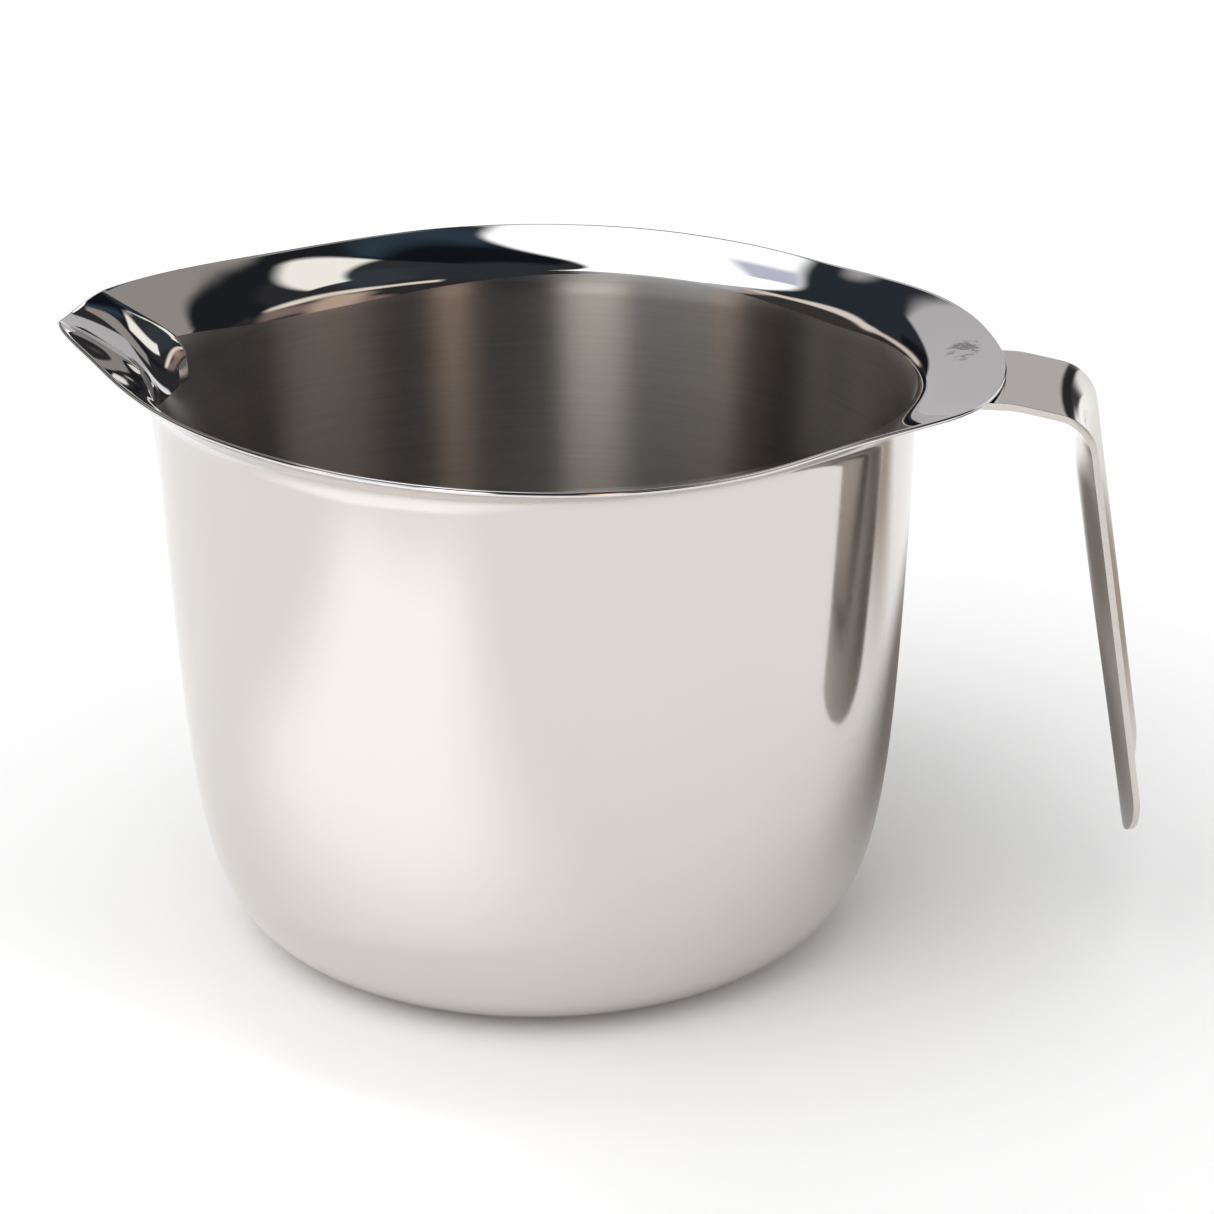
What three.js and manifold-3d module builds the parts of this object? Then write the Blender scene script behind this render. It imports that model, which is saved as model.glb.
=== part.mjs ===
// Pouring pot for melting wax: a deep-drawn bowl with a pressed lip, spout and handle tab,
// and a pressed strap handle welded flat under the tab.
// Millimetres and degrees. +Z up, origin at the centre of the underside, +X towards the handle,
// spout towards -X. Bearings turn about +Z and start at the handle.
import * as THREE from "three";
import { mergeVertices } from "three/addons/utils/BufferGeometryUtils.js";
import Module from "manifold-3d";

// Bowl
const bowlSheet = 0.8;
const bowlRadius = 68; // inside, at the top of the wall
const wallHeight = 104.2; // inside floor to the crease under the lip
const wallTaper = 0.0213; // radius lost per mm going down
const cornerHeight = 21.4; // how far the soft corner reaches up the wall
const cornerPower = 0.0877; // smaller is a squarer corner
const floorRadius = 38;

// Lip: [bearing, width past the wall, rise above the crease, slope at the cut edge,
// share of the width that the slope holds for]
const lipStations = [
  [0, 16.2, 3.7, 0, 0.82],
  [14, 16.0, 3.8, 1, 0.82],
  [22, 15.6, 4.8, 7, 0.76],
  [30, 14.4, 5.7, 14, 0.7],
  [42, 12.9, 5.7, 20, 0.7],
  [55, 14.6, 4.9, 17, 0.7],
  [70, 17.8, 5.4, 15, 0.7],
  [85, 19.0, 6.4, 16, 0.7],
  [100, 17.4, 7.3, 19, 0.7],
  [115, 14.1, 8.0, 26, 0.7],
  [130, 10.9, 8.2, 34, 0.7],
  [142, 9.8, 8.5, 36, 0.7],
  [155, 11.2, 9.1, 34, 0.7],
  [165, 15.0, 9.2, 31, 0.7],
  [173, 18.8, 8.8, 28, 0.7],
  [180, 20.0, 8.4, 28, 0.7],
];
const foldStart = 4; // below the crease, where the wall starts to turn out
const foldReach = 5; // pull of the wall on the fold: smaller is a tighter fold

// Spout
const spoutFoot = 23; // below the crease, where the wall starts to bulge
const spoutReach = 20.6; // tip past the wall
const spoutTipRise = 6.6; // tip above the crease
const spoutTipSlope = 14;
const spoutWallHalfAngle = 10; // half width of the channel at the wall
const spoutMouthHalfAngle = 7.5; // and at the tip
const spoutWallPull = 16;
const spoutTipPull = 11;
const bulge = 2.6; // how far the wall under the spout is drawn out
const bulgeHalfAngle = 24;

// Handle
const strapSheet = 1.2;
const strapWidth = 34;
const strapStart = 8.5; // past the wall, where the strap starts under the tab
const strapFlatEnd = 18; // past the wall, where it starts to slope down
const strapShoulder = 31; // past the wall, at the corner above the leg
const shoulderDrop = 2.5; // fall from the flat to that corner
const strapFlatRadius = 20;
const shoulderRadius = 8;
const legLean = 9.9; // from upright
const legLength = 81.5; // from the shoulder corner to the tip
const tipLength = 12; // rounded end
const legDish = 3.5; // how deep the leg's cross-section is pressed
const tipDish = 3;

// Welds that hold the strap to the tab
const weldRadius = 2.2;
const weldSpacing = 16;
const weldInset = 3.7; // from the tab's end
const gap = 0.3; // between pieces that touch
const tabSag = 0.25; // how far the tab dips between its edge and its fold

// Fineness of the meshes
const bowlColumns = 44; // around, away from the spout
const spoutColumns = 16;
const wallShares = [0.002, 0.008, 0.025, 0.06, 0.12, 0.21, 0.35, 0.6]; // rings up the wall
const lipShares = [0, 0.15, 0.3, 0.43, 0.49, 0.55, 0.62, 0.71, 0.84, 1]; // and along the lip
const strapColumns = 8;
const flatRows = 5;
const bendRows = 12;
const legRows = 5;
const tipRows = 6;
const weldSides = 24;

const radians = THREE.MathUtils.degToRad;
const smoothstep = THREE.MathUtils.smoothstep;
const crease = bowlSheet + wallHeight;

const wasm = await Module();
wasm.setup();

// A smooth value from [bearing, value, ...] stations, mirrored about the handle's line.
function stationValue(stations, bearing, column) {
  const b = Math.abs(THREE.MathUtils.euclideanModulo(bearing + 180, 360) - 180);
  const at = (i) => {
    const last = stations.length - 1;
    if (i < 0) return [-stations[-i][0], stations[-i][column]];
    if (i > last) return [360 - stations[2 * last - i][0], stations[2 * last - i][column]];
    return [stations[i][0], stations[i][column]];
  };
  let i = 0;
  while (i < stations.length - 2 && b > stations[i + 1][0]) i++;
  const [p, q, r, s] = [at(i - 1), at(i), at(i + 1), at(i + 2)];
  const span = r[0] - q[0];
  const startSlope = (span * (r[1] - p[1])) / (r[0] - p[0]);
  const endSlope = (span * (s[1] - q[1])) / (s[0] - q[0]);
  const t = (b - q[0]) / span;
  return (
    q[1] * (1 + 2 * t) * (1 - t) ** 2 +
    startSlope * t * (1 - t) ** 2 +
    r[1] * t * t * (3 - 2 * t) +
    endSlope * t * t * (t - 1)
  );
}

// Inside radius at a height above the inside floor.
function wallRadius(height) {
  const corner = (1 - Math.exp(-height / cornerHeight)) ** cornerPower;
  return bowlRadius * corner - wallTaper * (wallHeight - height);
}

const wallPoint = (z) => new THREE.Vector2(wallRadius(z - bowlSheet), z);
const step = (degrees, length) =>
  new THREE.Vector2(Math.cos(radians(degrees)), Math.sin(radians(degrees))).multiplyScalar(length);

// Section of the wall's top and the lip, as radius and height.
function lipSection(bearing) {
  const width = stationValue(lipStations, bearing, 1);
  const rise = stationValue(lipStations, bearing, 2);
  const slope = stationValue(lipStations, bearing, 3);
  const reach = stationValue(lipStations, bearing, 4) * width;
  const fold = wallPoint(crease - foldStart);
  const edge = new THREE.Vector2(bowlRadius + width, crease + rise);
  const section = new THREE.CurvePath();
  section.add(new THREE.LineCurve(wallPoint(crease - spoutFoot), fold));
  section.add(
    new THREE.CubicBezierCurve(
      fold,
      fold.clone().add(step(90, foldReach)),
      edge.clone().sub(step(slope, reach)),
      edge,
    ),
  );
  return section;
}

// Section down the middle of the pouring channel.
function channelSection() {
  const foot = wallPoint(crease - spoutFoot);
  const tip = new THREE.Vector2(bowlRadius + spoutReach, crease + spoutTipRise);
  return new THREE.CubicBezierCurve(
    foot,
    foot.clone().add(step(90, spoutWallPull)),
    tip.clone().sub(step(spoutTipSlope, spoutTipPull)),
    tip,
  );
}

// A bump about the spout's line, from 1 on the line to 0 at the half angle.
function bump(bearing, halfAngle, power) {
  const across = Math.abs(180 - THREE.MathUtils.euclideanModulo(bearing, 360)) / halfAngle;
  return across < 1 ? (1 - across ** 2) ** power : 0;
}

// A point of the lip's section, drawn out under the spout and pressed down into its channel.
function lipPoint(section, channelPoint, bearing, u) {
  const halfAngle = THREE.MathUtils.lerp(spoutWallHalfAngle, spoutMouthHalfAngle, u);
  const point = section.getPointAt(u);
  point.x += bulge * bump(bearing, bulgeHalfAngle, 2) * Math.sin(Math.PI * u) ** 2;
  return point.lerp(channelPoint, bump(bearing, halfAngle, 1.5));
}

// Bearings of the bowl's columns, closer together across the spout.
function bowlBearings() {
  const fine = spoutWallHalfAngle * 1.5;
  const bearings = [];
  for (let i = 0; i < bowlColumns; i++) {
    bearings.push(fine - 180 + (i * (360 - 2 * fine)) / bowlColumns);
  }
  for (let i = 0; i < spoutColumns; i++) {
    bearings.push(180 - fine + (i * 2 * fine) / spoutColumns);
  }
  return bearings;
}

// Inside face of the bowl: one ring of points for each step from the floor to the lip's edge.
function bowlRings(bearings) {
  const rings = [];
  const spin = (radius, z, bearing) =>
    new THREE.Vector3(
      radius * Math.cos(radians(bearing)),
      radius * Math.sin(radians(bearing)),
      z,
    );
  rings.push(bearings.map((b) => spin(floorRadius, bowlSheet, b)));
  const wallTop = wallHeight - spoutFoot;
  for (const share of wallShares) {
    const height = share * wallTop;
    rings.push(bearings.map((b) => spin(wallRadius(height), bowlSheet + height, b)));
  }
  const channel = channelSection();
  const sections = bearings.map(lipSection);
  for (const u of lipShares) {
    const middle = channel.getPointAt(u);
    rings.push(
      bearings.map((b, i) => {
        const p = lipPoint(sections[i], middle, b, u);
        return spin(p.x, p.y, b);
      }),
    );
  }
  return rings;
}

// Unit normals of a grid of points, for rows that run outwards and columns that turn left.
function gridNormals(rows, closed) {
  const last = rows.length - 1;
  return rows.map((row, r) =>
    row.map((_, c) => {
      const count = row.length;
      const before = closed ? (c + count - 1) % count : Math.max(c - 1, 0);
      const after = closed ? (c + 1) % count : Math.min(c + 1, count - 1);
      const out = rows[Math.min(r + 1, last)][c].clone().sub(rows[Math.max(r - 1, 0)][c]);
      const turn = row[after].clone().sub(row[before]);
      return out.cross(turn).normalize();
    }),
  );
}

// One closed mesh from triangles given as lists of three points.
function solidGeometry(triangles) {
  const corners = triangles.flat().flatMap((p) => [p.x, p.y, p.z]);
  const geometry = new THREE.BufferGeometry();
  geometry.setAttribute("position", new THREE.Float32BufferAttribute(corners, 3));
  return mergeVertices(geometry, 1e-4);
}

// The two triangles of a quad whose corners run anticlockwise seen from outside.
const quad = (a, b, c, d) => [
  [a, b, c],
  [a, c, d],
];

function bowlGeometry() {
  const bearings = bowlBearings();
  const inside = bowlRings(bearings);
  const normals = gridNormals(inside, true);
  normals[0].forEach((n) => n.set(0, 0, 1));
  const outside = inside.map((ring, r) =>
    ring.map((p, c) => p.clone().addScaledVector(normals[r][c], -bowlSheet)),
  );
  const floorMiddle = new THREE.Vector3(0, 0, bowlSheet);
  const baseMiddle = new THREE.Vector3(0, 0, 0);
  const triangles = [];
  bearings.forEach((_, c) => {
    const n = (c + 1) % bearings.length;
    triangles.push([floorMiddle, inside[0][c], inside[0][n]]);
    triangles.push([baseMiddle, outside[0][n], outside[0][c]]);
    for (let r = 0; r < inside.length - 1; r++) {
      triangles.push(...quad(inside[r][c], inside[r + 1][c], inside[r + 1][n], inside[r][n]));
      triangles.push(
        ...quad(outside[r][c], outside[r][n], outside[r + 1][n], outside[r + 1][c]),
      );
    }
    const e = inside.length - 1;
    triangles.push(...quad(inside[e][c], outside[e][c], outside[e][n], inside[e][n]));
  });
  return solidGeometry(triangles);
}

// A path of straight runs through the corners, each corner rounded to its radius.
function roundedPath(corners, radii) {
  const path = new THREE.CurvePath();
  let from = corners[0];
  for (let i = 1; i < corners.length - 1; i++) {
    const into = corners[i].clone().sub(corners[i - 1]).normalize();
    const out = corners[i + 1].clone().sub(corners[i]).normalize();
    const turn = Math.acos(into.dot(out));
    const cut = radii[i - 1] * Math.tan(turn / 2);
    const start = corners[i].clone().addScaledVector(into, -cut);
    const end = corners[i].clone().addScaledVector(out, cut);
    const pull = (4 / 3) * Math.tan(turn / 4) * radii[i - 1];
    path.add(new THREE.LineCurve(from, start));
    path.add(
      new THREE.CubicBezierCurve(
        start,
        start.clone().addScaledVector(into, pull),
        end.clone().addScaledVector(out, -pull),
        end,
      ),
    );
    from = end;
  }
  path.add(new THREE.LineCurve(from, corners[corners.length - 1]));
  return path;
}

const tabUnderside = crease + lipStations[0][2] - bowlSheet;
const strapMiddle = tabUnderside - tabSag - gap - strapSheet / 2;

// Line of the strap's side edges, as distance along +X and height.
function strapPath() {
  const start = new THREE.Vector2(bowlRadius + strapStart, strapMiddle);
  const flatEnd = new THREE.Vector2(bowlRadius + strapFlatEnd, strapMiddle);
  const shoulder = new THREE.Vector2(bowlRadius + strapShoulder, strapMiddle - shoulderDrop);
  const tip = shoulder.clone().add(step(legLean - 90, legLength));
  return roundedPath([start, flatEnd, shoulder, tip], [strapFlatRadius, shoulderRadius]);
}

const bendStart = strapShoulder - strapStart - shoulderRadius; // from the strap's start
const bendEnd = bendStart + 2.4 * shoulderRadius; // a little past the rounded corner

// Distances along the strap of its rows of points.
function strapSteps(length) {
  const run = (from, to, count) =>
    Array.from({ length: count }, (_, i) => from + ((to - from) * i) / count);
  const tipStart = length - tipLength;
  const steps = [
    ...run(0, bendStart, flatRows),
    ...run(bendStart, bendEnd, bendRows),
    ...run(bendEnd, tipStart, legRows),
    tipStart,
  ];
  const quarter = Math.PI / 2.1; // a little under a right angle, so the end keeps some width
  for (let i = 1; i <= tipRows; i++) {
    steps.push(tipStart + tipLength * Math.sin((i / tipRows) * quarter));
  }
  return steps;
}

// Middle surface of the strap: rows along it, columns across it from -Y to +Y.
function strapRows() {
  const path = strapPath();
  const length = path.getLength();
  const rows = [];
  for (const s of strapSteps(length)) {
    const at = path.getPointAt(s / length);
    const heading = path.getTangentAt(s / length);
    const intoTip = Math.max(0, (s - (length - tipLength)) / tipLength);
    const halfWidth = (strapWidth / 2) * Math.sqrt(1 - intoTip ** 2);
    const bent = smoothstep(s, bendStart, bendEnd);
    const depth = THREE.MathUtils.lerp(legDish, tipDish, smoothstep(s, bendEnd, length));
    const row = [];
    for (let i = 0; i <= strapColumns; i++) {
      const across = halfWidth * Math.cos(Math.PI * (1 - i / strapColumns));
      const dish = bent * depth * (1 - (across / (strapWidth / 2)) ** 2);
      row.push(new THREE.Vector3(at.x + heading.y * dish, across, at.y - heading.x * dish));
    }
    rows.push(row);
  }
  return rows;
}

function strapGeometry() {
  const middle = strapRows();
  const normals = gridNormals(middle, false);
  const side = (offset) =>
    middle.map((row, r) =>
      row.map((p, c) => p.clone().addScaledVector(normals[r][c], offset)),
    );
  const top = side(strapSheet / 2);
  const under = side(-strapSheet / 2);
  const rows = middle.length - 1;
  const columns = middle[0].length - 1;
  const triangles = [];
  for (let r = 0; r < rows; r++) {
    for (let c = 0; c < columns; c++) {
      triangles.push(...quad(top[r][c], top[r + 1][c], top[r + 1][c + 1], top[r][c + 1]));
      triangles.push(
        ...quad(under[r][c], under[r][c + 1], under[r + 1][c + 1], under[r + 1][c]),
      );
    }
    triangles.push(...quad(top[r][0], under[r][0], under[r + 1][0], top[r + 1][0]));
    triangles.push(
      ...quad(
        top[r][columns],
        top[r + 1][columns],
        under[r + 1][columns],
        under[r][columns],
      ),
    );
  }
  for (let c = 0; c < columns; c++) {
    triangles.push(...quad(top[0][c], top[0][c + 1], under[0][c + 1], under[0][c]));
    triangles.push(
      ...quad(top[rows][c], under[rows][c], under[rows][c + 1], top[rows][c + 1]),
    );
  }
  return solidGeometry(triangles);
}

const tabEnd = bowlRadius + lipStations[0][1];
const weldPlaces = [-1, 1].map(
  (side) => new THREE.Vector3(tabEnd - weldInset, (side * weldSpacing) / 2, strapMiddle),
);

// An upright round slug.
function slugGeometry(place, radius, height) {
  const slug = new THREE.CylinderGeometry(radius, radius, height, weldSides);
  slug.rotateX(Math.PI / 2);
  slug.translate(place.x, place.y, place.z);
  return slug;
}

function toSolid(geometry) {
  const bare = geometry.clone();
  bare.deleteAttribute("normal");
  bare.deleteAttribute("uv");
  const merged = mergeVertices(bare, 1e-4);
  const vertProperties = merged.attributes.position.array;
  const triVerts = new Uint32Array(merged.index.array);
  return new wasm.Manifold(new wasm.Mesh({ numProp: 3, vertProperties, triVerts }));
}

function fromSolid(solid) {
  const mesh = solid.getMesh();
  const geometry = new THREE.BufferGeometry();
  geometry.setAttribute("position", new THREE.BufferAttribute(mesh.vertProperties, 3));
  geometry.setIndex(new THREE.BufferAttribute(mesh.triVerts, 1));
  return geometry;
}

function handleGeometry() {
  let strap = toSolid(strapGeometry());
  for (const place of weldPlaces) {
    const hole = slugGeometry(place, weldRadius + gap, 4 * strapSheet); // longer than the sheet
    strap = strap.subtract(toSolid(hole));
  }
  return fromSolid(strap);
}

const pot = new THREE.Group();

function addPiece(name, geometry, color, roughness) {
  geometry.computeVertexNormals();
  const material = new THREE.MeshStandardMaterial({ color, roughness, metalness: 1 });
  const mesh = new THREE.Mesh(geometry, material);
  mesh.name = name;
  pot.add(mesh);
}

addPiece("bowl", bowlGeometry(), 0xd9d6d2, 0.18);
addPiece("handle", handleGeometry(), 0xc9c4be, 0.22);
weldPlaces.forEach((place, i) => {
  const slug = slugGeometry(place, weldRadius, strapSheet);
  addPiece("handle_weld_" + (i + 1), slug, 0xb3aea8, 0.5);
});

export default pot;
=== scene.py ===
import math

import bpy
import numpy as np
from mathutils import Matrix, Vector


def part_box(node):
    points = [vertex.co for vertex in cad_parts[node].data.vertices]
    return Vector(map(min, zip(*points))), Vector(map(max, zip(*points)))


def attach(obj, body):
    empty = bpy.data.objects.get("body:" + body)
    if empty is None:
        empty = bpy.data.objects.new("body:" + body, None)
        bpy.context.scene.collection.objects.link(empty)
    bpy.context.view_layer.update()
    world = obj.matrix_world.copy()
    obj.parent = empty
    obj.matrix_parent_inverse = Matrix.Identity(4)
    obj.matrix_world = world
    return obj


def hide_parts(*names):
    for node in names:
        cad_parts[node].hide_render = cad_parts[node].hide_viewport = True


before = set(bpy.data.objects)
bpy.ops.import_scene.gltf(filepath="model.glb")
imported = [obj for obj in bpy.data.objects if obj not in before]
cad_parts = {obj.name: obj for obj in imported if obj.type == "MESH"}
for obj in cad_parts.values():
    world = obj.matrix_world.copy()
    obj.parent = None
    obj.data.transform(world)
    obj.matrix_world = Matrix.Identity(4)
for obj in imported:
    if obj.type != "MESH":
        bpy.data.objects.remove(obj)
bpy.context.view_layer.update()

bowlLow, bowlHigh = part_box("bowl")
handleLow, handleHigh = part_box("handle")
mm = 0.001


camera = {
    "place": (0.0890, -0.4559, 0.2392),
    "heading": 9.5,  # degrees to the left of +Y
    "down": 21.22,
    "roll": -0.28,
    "lens": 78.87,
}


def addCamera():
    data = bpy.data.cameras.new("camera")
    data.lens = camera["lens"]
    data.sensor_width = 36
    data.clip_start = 0.01
    view = bpy.data.objects.new("camera", data)
    turn = Matrix.Rotation(math.radians(camera["heading"]), 4, "Z")
    tip = Matrix.Rotation(math.radians(90 - camera["down"]), 4, "X")
    roll = Matrix.Rotation(math.radians(camera["roll"]), 4, "Z")
    view.matrix_world = Matrix.Translation(camera["place"]) @ turn @ tip @ roll
    bpy.context.scene.collection.objects.link(view)
    bpy.context.scene.camera = view


def linear(hexColour):
    channels = [int(hexColour[i : i + 2], 16) / 255 for i in (1, 3, 5)]
    return [c / 12.92 if c < 0.04045 else ((c + 0.055) / 1.055) ** 2.4 for c in channels] + [1]


def addNode(tree, kind, settings=None, inputs=None):
    node = tree.nodes.new(kind)
    for name, value in (settings or {}).items():
        setattr(node, name, value)
    for name, value in (inputs or {}).items():
        socket = node.inputs[name]
        if isinstance(value, bpy.types.Node):
            value = value.outputs[0]
        if isinstance(value, bpy.types.NodeSocket):
            tree.links.new(value, socket)
        else:
            socket.default_value = value
    return node


bowl = {
    "sheet": 0.8 * mm,
    "sideLip": 19.0 * mm,  # lip's width at the front and back
    "creaseHeight": 105.0 * mm,
    "taper": 0.0213,
    "cornerHeight": 21.4 * mm,
    "cornerPower": 0.0877,
    "floorRadius": 38 * mm,
    "foldStart": 4 * mm,
    "foldReach": 5 * mm,
    "spoutFoot": 23 * mm,
    "spoutTipRise": 6.6 * mm,
    "spoutTipSlope": 14,
    "spoutWallPull": 16 * mm,
    "spoutTipPull": 11 * mm,
    "channelAtWall": 10,  # half widths in degrees about the bowl's axis
    "channelAtMouth": 7.5,
    "bulge": 2.6 * mm,
    "bulgeHalfAngle": 24,
    "satinEnd": 0.575,  # share of the lip's section where the satin inside stops
    "channelSatinEnd": 0.36,
    "channelMirror": 8,  # half width of its polished part, in degrees
    "mirrorStart": 0.62,  # share where the polished lip starts on the outside
    "cutEdge": 0.9,  # how far the cut edge bulges: 1 is a half circle
    "floorRings": (0.25, 0.6, 0.85, 1),  # shares of the floor's radius
    "wallRings": 40,
    "wallCrowding": 3.2,  # crowds the wall's rings into the corner
    "plainColumns": 210,
    "spoutColumns": 110,
    "footRows": 12,  # rows along the lip's section: below the fold, over it and past it
    "foldRows": 22,
    "lipRows": 16,
    "foldFrom": 0.36,
    "foldTo": 0.64,
    "edgeRows": 9,
    "smoothing": 3.0,  # degrees that the press eases each change along the lip over
    # bearing from the handle, width past the wall, rise above the crease, edge slope, slope's share
    "lip": [
        (0, 16.2, 3.7, 0, 0.82),
        (14, 16.0, 3.8, 1, 0.82),
        (22, 15.6, 4.8, 7, 0.76),
        (30, 14.4, 5.7, 14, 0.7),
        (42, 12.9, 5.7, 20, 0.7),
        (55, 14.6, 4.9, 17, 0.7),
        (70, 17.8, 5.4, 15, 0.7),
        (85, 19.0, 6.4, 16, 0.7),
        (100, 17.4, 7.3, 19, 0.7),
        (115, 14.1, 8.0, 26, 0.7),
        (130, 10.9, 8.2, 34, 0.7),
        (142, 9.8, 8.5, 36, 0.7),
        (155, 11.2, 9.1, 34, 0.7),
        (165, 15.0, 9.2, 31, 0.7),
        (173, 18.8, 8.8, 28, 0.7),
        (180, 20.0, 8.4, 28, 0.7),
    ],
}
bowlRadius = (bowlHigh.y - bowlLow.y) / 2 - bowl["sideLip"]
crease = bowl["creaseHeight"]
wallHeight = crease - bowl["sheet"]
spoutReach = -bowlLow.x - bowlRadius


def lipValues(bearings):
    # A smooth curve through the stations, the same on both sides, then eased.
    stations = np.array(bowl["lip"])
    mirrored = stations[-2:0:-1] * (-1, 1, 1, 1, 1) + (360, 0, 0, 0, 0)
    ring = np.vstack([stations, mirrored])
    wrapped = np.vstack([ring - (360, 0, 0, 0, 0), ring, ring + (360, 0, 0, 0, 0)])
    x, y = wrapped[:, 0], wrapped[:, 1:]
    slope = np.gradient(y, x, axis=0)
    at = np.arange(0, 360, 0.5)
    i = np.clip(np.searchsorted(x, at) - 1, 0, len(x) - 2)
    step = (x[i + 1] - x[i])[:, None]
    t = (at - x[i])[:, None] / step
    curve = (
        y[i] * (1 + 2 * t) * (1 - t) ** 2
        + step * slope[i] * t * (1 - t) ** 2
        + y[i + 1] * t * t * (3 - 2 * t)
        + step * slope[i + 1] * t * t * (t - 1)
    )
    away = np.minimum(at, 360 - at)
    kernel = np.exp(-0.5 * (away / bowl["smoothing"]) ** 2)
    kernel /= kernel.sum()
    eased = np.fft.ifft(np.fft.fft(curve, axis=0) * np.fft.fft(kernel)[:, None], axis=0).real
    closed = np.vstack([eased, eased[:1]])
    grid = np.append(at, 360)
    return [np.interp(np.mod(bearings, 360), grid, closed[:, k]) for k in range(4)]


def wallRadius(height):
    corner = (1 - np.exp(-height / bowl["cornerHeight"])) ** bowl["cornerPower"]
    return bowlRadius * corner - bowl["taper"] * (wallHeight - height)


def bezier(a, b, c, d, count=90):
    t = np.linspace(0, 1, count)[:, None]
    a, b, c, d = (np.array(p) for p in (a, b, c, d))
    return a * (1 - t) ** 3 + 3 * b * t * (1 - t) ** 2 + 3 * c * t * t * (1 - t) + d * t**3


def alongLine(points, shares):
    length = np.append(0, np.cumsum(np.linalg.norm(np.diff(points, axis=0), axis=1)))
    return np.stack([np.interp(shares * length[-1], length, points[:, k]) for k in (0, 1)], 1)


def wallPoint(z):
    return (float(wallRadius(z - bowl["sheet"])), z)


def lipSection(width, rise, slope, share):
    fold = wallPoint(crease - bowl["foldStart"])
    edge = (bowlRadius + width, crease + rise)
    reach = share * width
    back = (edge[0] - reach * math.cos(slope), edge[1] - reach * math.sin(slope))
    curve = bezier(fold, (fold[0], fold[1] + bowl["foldReach"]), back, edge)
    return np.vstack([[wallPoint(crease - bowl["spoutFoot"])], curve])


def channelSection():
    foot = wallPoint(crease - bowl["spoutFoot"])
    tip = (bowlRadius + spoutReach, crease + bowl["spoutTipRise"])
    slope = math.radians(bowl["spoutTipSlope"])
    pull = bowl["spoutTipPull"]
    back = (tip[0] - pull * math.cos(slope), tip[1] - pull * math.sin(slope))
    return bezier(foot, (foot[0], foot[1] + bowl["spoutWallPull"]), back, tip)


def bump(bearings, halfAngle, power):
    across = np.abs(180 - np.mod(bearings, 360)) / halfAngle
    return np.where(across < 1, (1 - np.minimum(across, 1) ** 2) ** power, 0)


def bowlInside(bearings, shares):
    # Rings of points over the inside face, from the floor's edge to the cut edge of the lip.
    cosine, sine = np.cos(np.radians(bearings)), np.sin(np.radians(bearings))

    def ring(radius, z):
        return np.stack([radius * cosine, radius * sine, z + 0 * cosine], 1)

    rings = [ring(share * bowl["floorRadius"], bowl["sheet"]) for share in bowl["floorRings"]]
    wallTop = wallHeight - bowl["spoutFoot"]
    for share in np.linspace(0.12, 1, bowl["wallRings"])[:-1] ** bowl["wallCrowding"]:
        rings.append(ring(wallRadius(share * wallTop), bowl["sheet"] + share * wallTop))
    width, rise, slope, hold = lipValues(bearings)
    channel = alongLine(channelSection(), shares)
    lip = []
    for c, bearing in enumerate(bearings):
        section = lipSection(width[c] * mm, rise[c] * mm, math.radians(slope[c]), hold[c])
        points = alongLine(section, shares)
        bulge = bowl["bulge"] * bump(bearing, bowl["bulgeHalfAngle"], 2)
        points[:, 0] += bulge * np.sin(np.pi * shares) ** 2
        halfAngle = bowl["channelAtWall"] * (1 - shares) + bowl["channelAtMouth"] * shares
        pressed = bump(bearing, halfAngle, 1.5)[:, None]
        lip.append(points * (1 - pressed) + channel * pressed)
    lip = np.array(lip)
    for r in range(len(shares)):
        rings.append(ring(lip[:, r, 0], lip[:, r, 1]))
    return np.array(rings)


def ringNormals(rings):
    out = np.gradient(rings, axis=0)
    turn = np.roll(rings, -1, axis=1) - np.roll(rings, 1, axis=1)
    normals = np.cross(out, turn)
    return normals / np.linalg.norm(normals, axis=2, keepdims=True)


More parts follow.
